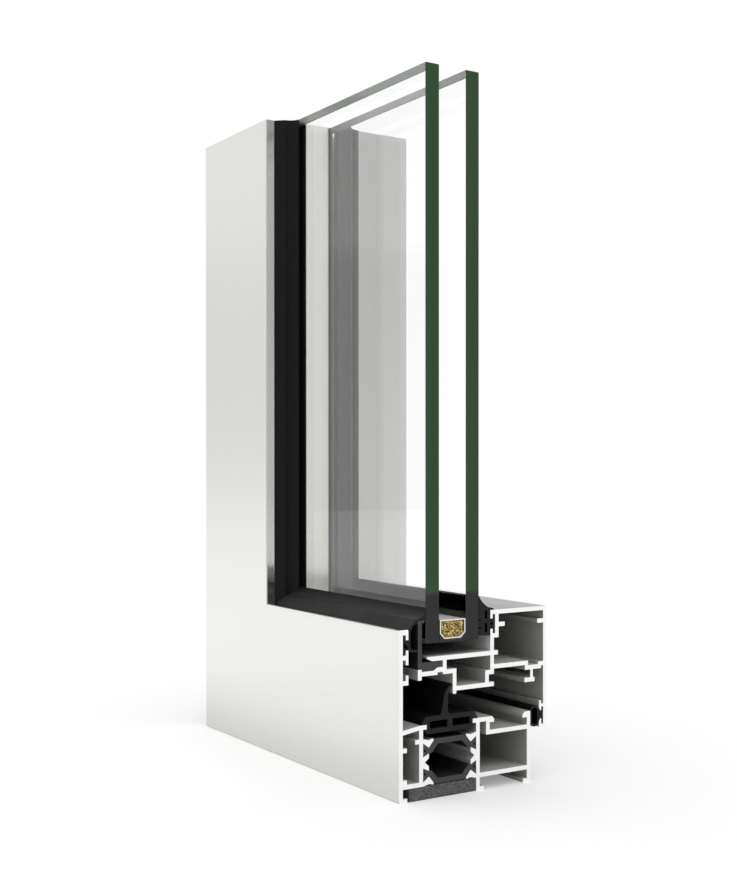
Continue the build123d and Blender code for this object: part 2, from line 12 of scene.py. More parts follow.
import bmesh
import bpy
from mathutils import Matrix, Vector


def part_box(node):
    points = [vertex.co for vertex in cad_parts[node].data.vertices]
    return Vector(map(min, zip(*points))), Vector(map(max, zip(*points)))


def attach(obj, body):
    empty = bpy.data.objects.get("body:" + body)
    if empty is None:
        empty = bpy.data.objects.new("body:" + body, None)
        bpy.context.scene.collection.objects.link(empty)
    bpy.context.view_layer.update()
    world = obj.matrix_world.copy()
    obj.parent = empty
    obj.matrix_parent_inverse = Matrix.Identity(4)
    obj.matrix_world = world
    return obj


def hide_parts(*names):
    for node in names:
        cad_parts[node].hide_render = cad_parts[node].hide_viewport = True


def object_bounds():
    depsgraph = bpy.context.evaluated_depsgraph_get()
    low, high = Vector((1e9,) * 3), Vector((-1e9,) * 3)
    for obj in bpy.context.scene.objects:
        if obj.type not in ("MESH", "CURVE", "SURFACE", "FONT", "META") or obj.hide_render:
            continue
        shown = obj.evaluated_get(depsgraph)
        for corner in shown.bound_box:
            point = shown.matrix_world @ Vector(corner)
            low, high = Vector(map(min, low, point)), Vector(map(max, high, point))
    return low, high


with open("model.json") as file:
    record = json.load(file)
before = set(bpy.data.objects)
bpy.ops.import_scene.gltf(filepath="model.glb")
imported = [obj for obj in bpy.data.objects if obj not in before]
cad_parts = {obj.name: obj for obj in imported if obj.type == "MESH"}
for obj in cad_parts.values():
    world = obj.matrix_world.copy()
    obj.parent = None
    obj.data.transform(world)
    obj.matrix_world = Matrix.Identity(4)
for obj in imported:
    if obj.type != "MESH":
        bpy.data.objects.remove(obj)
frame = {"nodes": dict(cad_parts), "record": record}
cad_low, cad_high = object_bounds()
nodes = frame["nodes"]
scene = bpy.context.scene
print("loaded", len(nodes), "pieces,", [round(1000 * size, 1) for size in cad_high - cad_low], "mm")

# %% [markdown]
# ## Camera
# The sample was seen from a little above the middle of its height, from the sill's sawn end. The camera
# could be aimed by eye, but its place was worked out from the sample's own straight edges, so it is
# written as numbers. The lens is shifted, as on a view camera, which keeps upright edges upright in the
# picture.

# %% Place the camera
CAMERA_PLACE = (0.48108, -0.2856, 0.1241)
CAMERA_TURN = math.radians(55.82)
CAMERA_TILT = math.radians(0.374)
CAMERA_LENS = 53.26
LENS_SHIFT = (-0.0813, 0.0314)

camera_data = bpy.data.cameras.new("sample_camera")
camera_data.lens = CAMERA_LENS
camera_data.shift_x, camera_data.shift_y = LENS_SHIFT
camera = bpy.data.objects.new("sample_camera", camera_data)
camera.location = CAMERA_PLACE
camera.rotation_euler = (math.pi / 2 - CAMERA_TILT, 0, CAMERA_TURN)
scene.collection.objects.link(camera)
scene.camera = camera
scene.view_settings.view_transform = "Standard"
print("camera at", CAMERA_PLACE, "with a lens of", CAMERA_LENS, "mm")

# %% [markdown]
# ## Small helpers for shader nodes
# A material is a graph, and writing it out node by node hides the idea. These helpers add one node, set
# or link its sockets by name, and hand back its output, so that each finish below reads as a sum.

# %% Node helpers
def add(tree, kind, inputs=None, **settings):
    """Adds a node, applies its settings, and sets or links the inputs given by name or number."""
    made = tree.nodes.new(kind)
    for name, value in settings.items():
        setattr(made, name, value)
    for key, value in (inputs or {}).items():
        if isinstance(value, bpy.types.NodeSocket):
            tree.links.new(value, made.inputs[key])
        else:
            made.inputs[key].default_value = value
    return made


def maths(tree, operation, first, second=0.0, clamp=False):
    """One sum of two values."""
    made = add(tree, "ShaderNodeMath", {0: first, 1: second}, operation=operation, use_clamp=clamp)
    return made.outputs[0]


def blend(tree, mask, first, second):
    """One colour over another by a mask."""
    made = add(tree, "ShaderNodeMix", {"Factor": mask, "A": first, "B": second}, data_type="RGBA")
    return made.outputs["Result"]


def spread(tree, value, low, high):
    """A value from 0 to 1 spread between two levels."""
    made = add(tree, "ShaderNodeMapRange", {"Value": value, "To Min": low, "To Max": high})
    return made.outputs["Result"]


def ramp(tree, value, span, levels):
    """A soft step between two levels, over a span of the value."""
    sockets = {"Value": value, "From Min": span[0], "From Max": span[1]}
    sockets |= {"To Min": levels[0], "To Max": levels[1]}
    return add(tree, "ShaderNodeMapRange", sockets, interpolation_type="SMOOTHSTEP").outputs["Result"]


def between(tree, mask, first, second):
    """One value or another by a mask."""
    return add(tree, "ShaderNodeMix", {"Factor": mask, "A": first, "B": second}).outputs["Result"]


def grey(level):
    """A neutral colour."""
    return (level, level, level, 1)


print("node helpers ready")

# %% [markdown]
# ## Light and floor
# The sample stands on a white sweep in an even, white room. A dome of light gives most of that look: it
# is white overhead, greyer towards the horizon with a bright strip above it, and greyest along the wall
# behind the sample, which metal and glass mirror as soft bands. The camera sees plain white instead,
# straight or through the panes, and a small gain makes up for the light that the panes take. The floor
# takes the sample's shadow, and is lifted to white where nothing shades it. Mirrored rays meet softer
# levels on the floor, brightest in front and greyer behind, because an even white would flatten the
# metal. One large soft lamp above the sawn end fills the chambers. It leaves the floor out, or the floor
# would lose its shadow.

# %% Room and floor
ROOM_LEVELS = ((0.02, 0.78), (0.12, 0.74), (0.15, 0.76), (0.165, 0.95), (0.24, 0.91), (0.32, 0.8), (0.7, 1.0))
WALL_TURN = (-0.3, 0.4)
WALL_RISE = (0.0, 0.22)
WALL_LEVELS = (0.57, 0.4)
WALL_TOP = (0.35, 0.8)
FLOOR_RADIUS = 2.7
FLOOR_BOUNCE = 0.9
FLOOR_SHADE = 0.9
FLOOR_LIFT = 0.245
MIRRORED_FLOOR = (0.03, 0.1)
MIRRORED_LIFT = (0.03, 0.2)
MIRRORED_FAR = (0.9, 1.6)
MIRRORED_FAR_SHARES = (1.0, 0.5)
MIRRORED_SIDE = (-0.27, -0.05)
MIRRORED_SIDE_SHARES = (1.35, 0.7)
FLOOR_BEHIND = (0.05, 0.25)
MIRRORED_BEHIND = 0.68
PANE_GAIN = 1.04
WHITE = (1, 1, 1, 1)

world = bpy.data.worlds.new("white_room")
scene.world = world
world.use_nodes = True
sky = world.node_tree
sky.nodes.clear()
direction = add(sky, "ShaderNodeSeparateXYZ", {0: add(sky, "ShaderNodeTexCoord").outputs["Generated"]})
climb = add(sky, "ShaderNodeValToRGB", {0: direction.outputs["Z"]})
climb.color_ramp.elements.remove(climb.color_ramp.elements[0])
for spot, (sine, level) in enumerate(ROOM_LEVELS):
    stop = climb.color_ramp.elements.new(sine) if spot else climb.color_ramp.elements[0]
    stop.position, stop.color = sine, grey(level)
behind = ramp(sky, direction.outputs["Y"], WALL_TURN, (0.0, 1.0))
wall = maths(sky, "MULTIPLY", behind, ramp(sky, direction.outputs["Z"], WALL_TOP, (1.0, 0.0)))
level = between(sky, wall, climb.outputs[0], ramp(sky, direction.outputs["Z"], WALL_RISE, WALL_LEVELS))
ray = add(sky, "ShaderNodeLightPath").outputs
through = maths(sky, "LESS_THAN", ray["Glossy Depth"], 0.5)
through = maths(sky, "MULTIPLY", through, ray["Is Transmission Ray"])
direct = maths(sky, "ADD", through, ray["Is Camera Ray"], clamp=True)
gain = spread(sky, through, 1.0, PANE_GAIN)
dome = add(sky, "ShaderNodeBackground", {"Color": blend(sky, direct, level, WHITE), "Strength": gain})
add(sky, "ShaderNodeOutputWorld", {"Surface": dome.outputs[0]})

floor_finish = bpy.data.materials.new("white_sweep")
floor_finish.use_nodes = True
sweep = floor_finish.node_tree
sweep.nodes.clear()
ray = add(sweep, "ShaderNodeLightPath").outputs
seen = maths(sweep, "ADD", ray["Is Camera Ray"], ray["Is Glossy Ray"])
seen = maths(sweep, "ADD", seen, ray["Is Transmission Ray"], clamp=True)
glossy = maths(sweep, "GREATER_THAN", ray["Glossy Depth"], 0.5)
floor_point = add(sweep, "ShaderNodeTexCoord").outputs["Object"]
floor_place = add(sweep, "ShaderNodeSeparateXYZ", {0: floor_point}).outputs
ahead = maths(sweep, "MULTIPLY", floor_place["Y"], -1.0)
front = ramp(sweep, ahead, MIRRORED_FLOOR, MIRRORED_LIFT)
far_off = ramp(sweep, ahead, MIRRORED_FAR, MIRRORED_FAR_SHARES)
sideways = ramp(sweep, floor_place["X"], MIRRORED_SIDE, MIRRORED_SIDE_SHARES)
front = maths(sweep, "MULTIPLY", maths(sweep, "MULTIPLY", front, far_off), sideways)
strength = between(sweep, glossy, FLOOR_LIFT, front)
back = maths(sweep, "MULTIPLY", glossy, ramp(sweep, floor_place["Y"], FLOOR_BEHIND, (0.0, 1.0)))
bounce = add(sweep, "ShaderNodeBsdfDiffuse", {"Color": grey(FLOOR_BOUNCE)})
tone = blend(sweep, back, grey(FLOOR_SHADE), grey(MIRRORED_BEHIND))
shade = add(sweep, "ShaderNodeBsdfDiffuse", {"Color": tone})
lift = add(sweep, "ShaderNodeEmission", {"Color": WHITE, "Strength": strength})
lifted = add(sweep, "ShaderNodeAddShader", {0: shade.outputs[0], 1: lift.outputs[0]})
either = add(sweep, "ShaderNodeMixShader", {0: seen, 1: bounce.outputs[0], 2: lifted.outputs[0]})
add(sweep, "ShaderNodeOutputMaterial", {"Surface": either.outputs[0]})

bpy.ops.mesh.primitive_circle_add(vertices=96, radius=FLOOR_RADIUS, fill_type="NGON")
floor = bpy.context.object
floor.name = "floor"
floor.data.materials.append(floor_finish)
print("floor of", 2 * FLOOR_RADIUS, "m in a white room")

# %% End lamp
LAMP_PLACE = Vector((0.8, 0.4, 1.15))
LAMP_AIM = Vector((0.08, 0.0, 0.06))
LAMP_SIZE = 0.9
LAMP_POWER = 9.5

lamp_data = bpy.data.lights.new("end_lamp", "AREA")
lamp_data.size = LAMP_SIZE
lamp_data.energy = LAMP_POWER
lamp = bpy.data.objects.new("end_lamp", lamp_data)
lamp.location = LAMP_PLACE
lamp.rotation_euler = (LAMP_AIM - LAMP_PLACE).to_track_quat("-Z", "Y").to_euler()
lamp.visible_glossy = False
scene.collection.objects.link(lamp)
left_out = bpy.data.collections.new("lamp_leaves_out")
left_out.objects.link(floor)
left_out.collection_objects[0].light_linking.link_state = "EXCLUDE"
lamp.light_linking.receiver_collection = left_out
print("lamp of", LAMP_POWER, "W,", LAMP_SIZE, "m across")

# %% [markdown]
# ## Where a point lies on the profile
# Sill and jamb are the same extruded profiles, mirrored at the mitre. So the smaller of a point's two
# distances from the corner is its height on the profile, and the larger one is how far along the bar it
# lies. A node group works this out once, in millimetres, and most finishes below use it: lines run along
# the bars, and saw cuts show only at their ends.

# %% Group: profile place
def new_group(name, inputs, outputs):
    """A shader node group with named value sockets, or vectors where a name ends in Vector."""
    tree = bpy.data.node_groups.new(name, "ShaderNodeTree")
    for names, way in ((inputs, "INPUT"), (outputs, "OUTPUT")):
        for socket in names:
            kind = "NodeSocketVector" if socket.endswith("Vector") else "NodeSocketFloat"
            tree.interface.new_socket(socket, in_out=way, socket_type=kind)
    return tree, tree.nodes.new("NodeGroupInput").outputs, tree.nodes.new("NodeGroupOutput")


def use(tree, group, **inputs):
    """Places a group in a material, with its own values, and hands back its outputs."""
    sockets = {key.replace("_", " "): value for key, value in inputs.items()}
    return add(tree, "ShaderNodeGroup", sockets, node_tree=group).outputs


MILLIMETRES = 1000.0
SAW_SKIN = 0.03

profile_place, _, answer = new_group(
    "Profile Place", [], ["Depth", "Height", "Along", "Sawn End", "Section Vector"]
)
point = add(profile_place, "ShaderNodeTexCoord").outputs["Object"]
part = add(profile_place, "ShaderNodeSeparateXYZ", {0: point}).outputs
across = [
    maths(profile_place, "MULTIPLY", maths(profile_place, "SUBTRACT", part[axis], cad_low[axis]), MILLIMETRES)
    for axis in range(3)
]
sizes = [MILLIMETRES * size for size in cad_high - cad_low]
height = maths(profile_place, "MINIMUM", across[0], across[2])
along = maths(profile_place, "MAXIMUM", across[0], across[2])
sill_cut = maths(profile_place, "GREATER_THAN", across[0], sizes[0] - SAW_SKIN)
jamb_cut = maths(profile_place, "GREATER_THAN", across[2], sizes[2] - SAW_SKIN)
section = add(profile_place, "ShaderNodeCombineXYZ", {"X": across[1], "Y": height}).outputs[0]
for socket, value in (
    ("Depth", across[1]),
    ("Height", height),
    ("Along", along),
    ("Sawn End", maths(profile_place, "MAXIMUM", sill_cut, jamb_cut)),
    ("Section Vector", section),
):
    profile_place.links.new(value, answer.inputs[socket])
print("profile place over", [round(size, 2) for size in sizes], "mm")

# %% [markdown]
# ## Die lines
# A profile or gasket is pressed through a steel die, whose tiny scratches draw straight lines along the
# whole bar. A stretched noise does this: it changes quickly across the profile, and hardly at all along
# it.

# %% Group: die lines
LINE_DRIFT = 0.004

die_lines, given, answer = new_group("Die Lines", ["Lines per mm"], ["Lines"])
place = use(die_lines, profile_place)
stretched = add(
    die_lines,
    "ShaderNodeCombineXYZ",
    {
        "X": maths(die_lines, "MULTIPLY", place["Depth"], given["Lines per mm"]),
        "Y": maths(die_lines, "MULTIPLY", place["Height"], given["Lines per mm"]),
        "Z": maths(die_lines, "MULTIPLY", place["Along"], LINE_DRIFT),
    },
).outputs[0]
streaks = add(die_lines, "ShaderNodeTexNoise", {"Vector": stretched, "Scale": 1.0, "Detail": 3.0})
die_lines.links.new(streaks.outputs[0], answer.inputs["Lines"])
print("die lines drift", LINE_DRIFT, "per mm along a bar")

# %% [markdown]
# ## Saw marks
# Each saw cut went through the whole sample, so its marks run across metal, plastic and rubber alike. A
# saw blade is a large disc, so the marks are arcs about a point far below the cut. Rings of noise about
# that point give them.

# %% Group: saw marks
BLADE_MIDDLE = (40.0, -170.0, 0.0)
MARK_DRIFT = 0.05

saw_marks, given, answer = new_group("Saw Marks", ["Marks per mm"], ["Marks"])
place = use(saw_marks, profile_place)
reach = add(
    saw_marks, "ShaderNodeVectorMath", {0: place["Section Vector"], 1: BLADE_MIDDLE}, operation="DISTANCE"
).outputs["Value"]
rings = add(
    saw_marks,
    "ShaderNodeCombineXYZ",
    {
        "X": maths(saw_marks, "MULTIPLY", reach, given["Marks per mm"]),
        "Y": maths(saw_marks, "MULTIPLY", place["Depth"], MARK_DRIFT),
    },
).outputs[0]
arcs = add(saw_marks, "ShaderNodeTexNoise", {"Vector": rings, "Scale": 1.0, "Detail": 2.0})
saw_marks.links.new(arcs.outputs[0], answer.inputs["Marks"])
print("saw marks about", BLADE_MIDDLE[:2], "mm")

# %% [markdown]
# ## Fine grain
# Filled plastic, foam and rubber are not one colour when you look closely: fibres, cells and filler show
# as specks. A cell pattern gives each speck its own level, and a soft noise makes patches of them.

# %% Group: fine grain
PATCH_SHARE = 0.2

fine_grain, given, answer = new_group("Fine Grain", ["Grains per mm"], ["Speck", "Patch"])
point = add(fine_grain, "ShaderNodeTexCoord").outputs["Object"]
finer = maths(fine_grain, "MULTIPLY", given["Grains per mm"], MILLIMETRES)
specks = add(fine_grain, "ShaderNodeTexVoronoi", {"Vector": point, "Scale": finer})
patches = add(
    fine_grain,
    "ShaderNodeTexNoise",
    {"Vector": point, "Scale": maths(fine_grain, "MULTIPLY", finer, PATCH_SHARE), "Detail": 4.0},
)
level = add(fine_grain, "ShaderNodeSeparateColor", {0: specks.outputs["Color"]}).outputs[0]
fine_grain.links.new(level, answer.inputs["Speck"])
fine_grain.links.new(patches.outputs[0], answer.inputs["Patch"])
print("fine grain ready")

# %% [markdown]
# ## Settled dust
# Whatever faces up in a showroom collects a thin grey film, which is plainest on black rubber. The film
# follows the normal's upward share, broken up by a soft noise so that it isn't even. The rebates under
# the sash stay clean, so the film starts above them on the profile.

# %% Group: settled dust
DUST_TILT = (0.25, 0.95)
DUST_HEIGHT = (55.0, 60.0)
DUST_SCALE = 90.0
DUST_DRIFT = (0.5, 1.5)

settled_dust, given, answer = new_group("Settled Dust", ["Amount"], ["Film"])
upward = add(
    settled_dust, "ShaderNodeSeparateXYZ", {0: add(settled_dust, "ShaderNodeNewGeometry").outputs["Normal"]}
).outputs["Z"]
point = add(settled_dust, "ShaderNodeTexCoord").outputs["Object"]
drift = add(settled_dust, "ShaderNodeTexNoise", {"Vector": point, "Scale": DUST_SCALE, "Detail": 5.0})
film = maths(settled_dust, "MULTIPLY", ramp(settled_dust, upward, DUST_TILT, (0.0, 1.0)), given["Amount"])
sheltered = ramp(settled_dust, use(settled_dust, profile_place)["Height"], DUST_HEIGHT, (0.0, 1.0))
film = maths(settled_dust, "MULTIPLY", film, sheltered)
film = maths(settled_dust, "MULTIPLY", film, spread(settled_dust, drift.outputs[0], *DUST_DRIFT), clamp=True)
settled_dust.links.new(film, answer.inputs["Film"])
print("settled dust ready")

# %% [markdown]
# ## Finishes
# Each finish is a Principled shader of its own. The groups feed what changes over the surface, and what
# is the same all over is set on the shader itself.

# %% A new finish
def new_finish(name, **constants):
    """A material with one Principled shader, its plain values set; gives it, its graph and the shader."""
    finish = bpy.data.materials.new(name)
    finish.use_nodes = True
    tree = finish.node_tree
    tree.nodes.clear()
    sockets = {key.replace("_", " "): value for key, value in constants.items()}
    shader = add(tree, "ShaderNodeBsdfPrincipled", sockets)
    add(tree, "ShaderNodeOutputMaterial", {"Surface": shader.outputs[0]})
    return finish, tree, shader.inputs


def feed(tree, sockets, **values):
    """Links what changes over the surface to the shader."""
    for key, value in values.items():
        tree.links.new(value, sockets[key.replace("_", " ")])


def relief(tree, height, depth_mm):
    """A normal from a small relief, by its depth in millimetres."""
    sockets = {"Height": height, "Strength": 1.0, "Distance": depth_mm / MILLIMETRES}
    return add(tree, "ShaderNodeBump", sockets).outputs[0]


print("finish helpers ready")

# %% [markdown]
# ## Satin aluminium
# The faces that people see, outside and in the room, have a satin skin: metal, nearly white, and smooth
# enough to show the room as a soft gradient. The leaf's edge is polished, so it mirrors the gaskets near
# the corner, and its colour is painted greyer, a painted reflection of those dark gaskets. Chambers,
# grooves and rebates keep the duller, greyer finish of the press, but the wall of the glazing rebate is
# painted pale, painted light for the light that comes down through the glass, and the sash's inner edge
# is painted darker near the gasket and paler towards the room, a painted shade.
# Where the saw went through, the bare metal is bright. Each could be a material of its own, but then the
# solids would have to be cut up. So one graph mixes them: depth and height pick out the faces and edges,
# and the sawn-end mask picks out the cuts.

# %% Finish: satin aluminium
SATIN = (0.86, 0.866, 0.832, 1)
PRESSED = (0.48, 0.482, 0.452, 1)
# pale colour that carries painted light on the rebate wall and the pale end of the sash's painted shade
PAINTED_PALE = (0.96, 0.965, 0.93, 1)
SAWN_METAL = grey(0.95)
LEAF_TOP = 62.7
SASH_TOP = 67.5
# depth of the glazing rebate's wall, which is painted pale as painted light
REBATE_WALL = 40.9
REBATE_FLOOR = 52.0
# painted shade: the sash's inner edge is darker near the gasket and paler towards the room
SASH_PAINTED_SHADE_SPAN = (52.5, 56.5)
# painted reflection: the leaf's edge is coloured greyer for the dark gaskets that it mirrors
LEAF_EDGE_PAINTED_REFLECTION = (0.73, 0.735, 0.706, 1)
FACES = (
    ("Depth", 0.0, 1.0),
    ("Depth", 60.0, 1.0),
    ("Depth", 68.0, 1.0),
    ("Height", LEAF_TOP, 1.0),
    ("Height", SASH_TOP, 0.9),
)
FACE_SKIN = 0.05
PRESSED_METAL = 0.35
SATIN_ROUGHNESS = (0.24, 0.34)
EDGE_POLISH = (0.07, 0.12)
PRESSED_ROUGHNESS = (0.36, 0.5)
SAWN_ROUGHNESS = (0.4, 0.6)
METAL_RELIEF = 0.002

aluminium, tree, skin = new_finish("satin_aluminium")
place = use(tree, profile_place)
lines = use(tree, die_lines, Lines_per_mm=4.0)["Lines"]
marks = use(tree, saw_marks, Marks_per_mm=6.0)["Marks"]
sawn = place["Sawn End"]


def level_with(way, spot):
    """Where the surface lies at one depth or height on the profile."""
    away = maths(tree, "ABSOLUTE", maths(tree, "SUBTRACT", place[way], spot))
    return maths(tree, "LESS_THAN", away, FACE_SKIN)


face = 0.0
for way, spot, share in FACES:
    face = maths(tree, "MAXIMUM", maths(tree, "MULTIPLY", level_with(way, spot), share), face)
metal = spread(tree, face, PRESSED_METAL, 1.0)
edge = level_with("Height", LEAF_TOP)
satin = between(tree, edge, spread(tree, lines, *SATIN_ROUGHNESS), spread(tree, lines, *EDGE_POLISH))
# painted light: the wall of the glazing rebate is coloured pale for light that comes down through the glass
painted_light_wall = maths(tree, "GREATER_THAN", place["Height"], REBATE_FLOOR)
painted_light_wall = maths(tree, "MULTIPLY", painted_light_wall, level_with("Depth", REBATE_WALL))
inside = blend(tree, painted_light_wall, PRESSED, PAINTED_PALE)
# painted shade on the sash's inner edge, darker near the gasket
sash_painted_shade = ramp(tree, place["Depth"], SASH_PAINTED_SHADE_SPAN, (0.0, 1.0))
outside = blend(tree, maths(tree, "MULTIPLY", sash_painted_shade, level_with("Height", SASH_TOP)), SATIN, PAINTED_PALE)
# the leaf's edge gets its painted reflection
outside = blend(tree, edge, outside, LEAF_EDGE_PAINTED_REFLECTION)
pressed = spread(tree, lines, *PRESSED_ROUGHNESS)
skin_roughness = between(tree, face, pressed, satin)
feed(
    tree,
    skin,
    Base_Color=blend(tree, sawn, blend(tree, face, inside, outside), SAWN_METAL),
    Metallic=maths(tree, "MULTIPLY", metal, maths(tree, "SUBTRACT", 1.0, sawn)),
    Roughness=between(tree, sawn, skin_roughness, spread(tree, marks, *SAWN_ROUGHNESS)),
    Normal=relief(tree, between(tree, sawn, lines, marks), METAL_RELIEF),
)
print(aluminium.name, "with sawn ends")

# %% [markdown]
# ## Polyamide, foam and rubber
# The thermal break and the glass holder are polyamide filled with glass fibre, dark grey with fine light
# specks. The pad along the wall is a closed-cell foam. The gaskets are black rubber with hardly any
# gloss. All three look paler and duller where they are sawn.

# %% Finishes: polyamide, foam and rubber
DUST = grey(0.12)
ROUGHNESS_DRIFT = 0.08


def dull_finish(name, skin_level, cut_level, specks, grains_per_mm, relief_mm, roughness, specular, dust):
    """A dark, dull finish with a paler sawn end; specks says how far the grain lightens and darkens it."""
    finish, tree, shader = new_finish(name, Specular_IOR_Level=specular)
    sawn = use(tree, profile_place)["Sawn End"]
    grain = use(tree, fine_grain, Grains_per_mm=grains_per_mm)
    lines = use(tree, die_lines, Lines_per_mm=3.0)["Lines"]
    mix = blend(tree, sawn, grey(skin_level), grey(cut_level))
    speck = spread(tree, grain["Speck"], 1 - specks, 1 + specks)
    patch = spread(tree, grain["Patch"], 1 - specks / 2, 1 + specks / 2)
    shade = maths(tree, "MULTIPLY", speck, patch)
    colour = add(tree, "ShaderNodeVectorMath", {0: mix, 1: shade}, operation="MULTIPLY").outputs[0]
    surface = between(tree, sawn, lines, grain["Speck"])
    film = use(tree, settled_dust, Amount=dust)["Film"]
    feed(
        tree,
        shader,
        Base_Color=blend(tree, film, colour, DUST),
        Roughness=spread(tree, surface, roughness - ROUGHNESS_DRIFT, roughness + ROUGHNESS_DRIFT),
        Normal=relief(tree, surface, relief_mm),
    )
    return finish


polyamide = dull_finish(
    "fibre_filled_polyamide",
    skin_level=0.014, cut_level=0.05, specks=0.2, grains_per_mm=5.0,
    relief_mm=0.01, roughness=0.55, specular=0.3, dust=0.1,
)
foam = dull_finish(
    "closed_cell_foam",
    skin_level=0.08, cut_level=0.105, specks=0.4, grains_per_mm=2.2,
    relief_mm=0.12, roughness=0.9, specular=0.1, dust=0.0,
)
rubber = dull_finish(
    "black_rubber",
    skin_level=0.005, cut_level=0.016, specks=0.15, grains_per_mm=6.0,
    relief_mm=0.01, roughness=0.5, specular=0.15, dust=0.24,
)
sealant = dull_finish(
    "edge_sealant",
    skin_level=0.02, cut_level=0.034, specks=0.1, grains_per_mm=4.0,
    relief_mm=0.01, roughness=0.6, specular=0.2, dust=0.0,
)
print("dull finishes:", [finish.name for finish in (polyamide, foam, rubber, sealant)])

# %% [markdown]
# ## Float glass
# Both panes are clear float glass. A pane's faces have almost no colour and mirror a little of the room,
# but its ground edges look deep green, because light has run a long way inside the pane. So each pane is
# made again with its sharp corners taken off, as a glazier does, and with two finishes: clear faces and
# green edges. The edges carry faint stripes from grinding, and are dark below the sight line, where seal
# and gaskets keep the light out. Seen from within the pane, an edge is painted a paler grey-green, painted
# light for the light that the pane carries. The clear finish lets light straight through, since a pane is
# thin next to what is seen behind it, and a coat gives the mirror.

# %% Finish: clear faces
CLEAR = (0.998, 1, 0.999, 1)
CLEAR_TINT = (0.994, 1, 0.996, 1)

clear_glass, tree, shader = new_finish(
    "clear_glass",
    IOR=1.0, Transmission_Weight=1.0, Roughness=0.0,
    Coat_Weight=1.0, Coat_IOR=1.5, Coat_Roughness=0.0,
)
lines = use(tree, die_lines, Lines_per_mm=0.05)["Lines"]
feed(tree, shader, Base_Color=blend(tree, lines, CLEAR, CLEAR_TINT))
print(clear_glass.name, "with a mirror coat")

# %% Finish: ground edges
EDGE_GREEN = (0.012, 0.052, 0.011, 1)
EDGE_DEEP = (0.018, 0.048, 0.02, 1)
EDGE_DARK = grey(0.011)
# painted light: the ground edge seen from within the pane is coloured paler for the light that the pane
# carries
EDGE_INSIDE_PAINTED_LIGHT = (0.26, 0.29, 0.26, 1)
SIGHT_LINE = (74.0, 76.0)
STRIPES_PER_MM = 1.3
STRIPE_STEP = (0.35, 0.65)
EDGE_ROUGHNESS = (0.3, 0.4)

glass_edge, tree, shader = new_finish("ground_glass_edge")
place = use(tree, profile_place)
across = add(tree, "ShaderNodeCombineXYZ", {"X": place["Depth"]}).outputs[0]
noise = {"Vector": across, "Scale": STRIPES_PER_MM, "Detail": 1.0}
stripes = add(tree, "ShaderNodeTexNoise", noise).outputs[0]
# faces seen from within the pane get the painted light
within = add(tree, "ShaderNodeNewGeometry").outputs["Backfacing"]
green = blend(tree, ramp(tree, stripes, STRIPE_STEP, (0.0, 1.0)), EDGE_DEEP, EDGE_GREEN)
green = blend(tree, ramp(tree, place["Height"], SIGHT_LINE, (1.0, 0.0)), green, EDGE_DARK)
feed(
    tree,
    shader,
    Base_Color=blend(tree, within, green, EDGE_INSIDE_PAINTED_LIGHT),
    Roughness=spread(tree, stripes, *EDGE_ROUGHNESS),
)
print(glass_edge.name, "green above", SIGHT_LINE, "mm")

# %% Panes with ground edges
ARRIS = 0.00025
FLAT_ON = 0.99


def ground_pane(node):
    """A pane in the place of its solid, with its sharp edges taken off."""
    low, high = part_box(node)
    mesh = bmesh.new()
    bmesh.ops.create_cube(mesh, size=1.0)
    for vertex in mesh.verts:
        vertex.co = [(a + b) / 2 + c * (b - a) for a, b, c in zip(low, high, vertex.co)]
    bmesh.ops.bevel(mesh, geom=mesh.edges[:], offset=ARRIS, segments=1, affect="EDGES")
    mesh.normal_update()
    for face in mesh.faces:
        face.material_index = int(abs(face.normal.y) < FLAT_ON)
    data = bpy.data.meshes.new(node + "_ground")
    mesh.to_mesh(data)
    mesh.free()
    piece = bpy.data.objects.new(node + "_ground", data)
    scene.collection.objects.link(piece)
    data.materials.append(clear_glass)
    data.materials.append(glass_edge)
    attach(piece, "root")
    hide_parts(node)
    print(piece.name, "with", len(data.polygons), "faces")


ground_pane("outer_pane")
ground_pane("inner_pane")

# %% [markdown]
# ## Spacer
# The spacer is a thin tube, rolled from pale metal strip, so it carries fine lines along its length. It
# is partly dull and partly a mirror, and so it darkens by itself near the black gaskets. A line of dark
# seal runs along its room-side edge, and its sawn wall is a warm cream.

# %% Finish: rolled spacer metal
ROLLED = (0.99, 0.995, 0.935, 1)
ROLLED_DARK = (0.94, 0.945, 0.885, 1)
ROLLED_CUT = (0.86, 0.8, 0.7, 1)
ROLLED_METAL = 0.4
SEAL_LINE = (28.4, 28.9)
SEAL_SHARE = 0.25
GROOVE_SPREAD = (-1.2, 2.1)
ROLLED_ROUGHNESS = (0.12, 0.24)
ROLLED_RELIEF = 0.03

spacer_metal, tree, shader = new_finish("rolled_spacer_metal")
place = use(tree, profile_place)
sawn = place["Sawn End"]
lines = use(tree, die_lines, Lines_per_mm=3.5)["Lines"]
groove = spread(tree, lines, *GROOVE_SPREAD)
rolled = blend(tree, groove, ROLLED_DARK, ROLLED)
shade = ramp(tree, place["Depth"], SEAL_LINE, (1.0, SEAL_SHARE))
rolled = add(tree, "ShaderNodeVectorMath", {0: rolled, 1: shade}, operation="MULTIPLY").outputs[0]
feed(
    tree,
    shader,
    Base_Color=blend(tree, sawn, rolled, ROLLED_CUT),
    Metallic=spread(tree, sawn, ROLLED_METAL, 0.0),
    Roughness=spread(tree, lines, *ROLLED_ROUGHNESS),
    Normal=relief(tree, lines, ROLLED_RELIEF),
)
print(spacer_metal.name)

# %% [markdown]
# ## Desiccant beads
# The spacer is filled with small drying beads, which show at the sawn ends as a golden, grainy fill. A
# bump map would look flat here, so the last two millimetres are real beads: each layer drops beads at
# random and keeps those that find room, and the rest of the fill keeps the solid's shape behind them.

# %% Finish: drying beads
GOLD = (0.1, 0.05, 0.004, 1)
PALE_GOLD = (0.92, 0.74, 0.28, 1)
BEAD_ROUGHNESS = (0.4, 0.7)

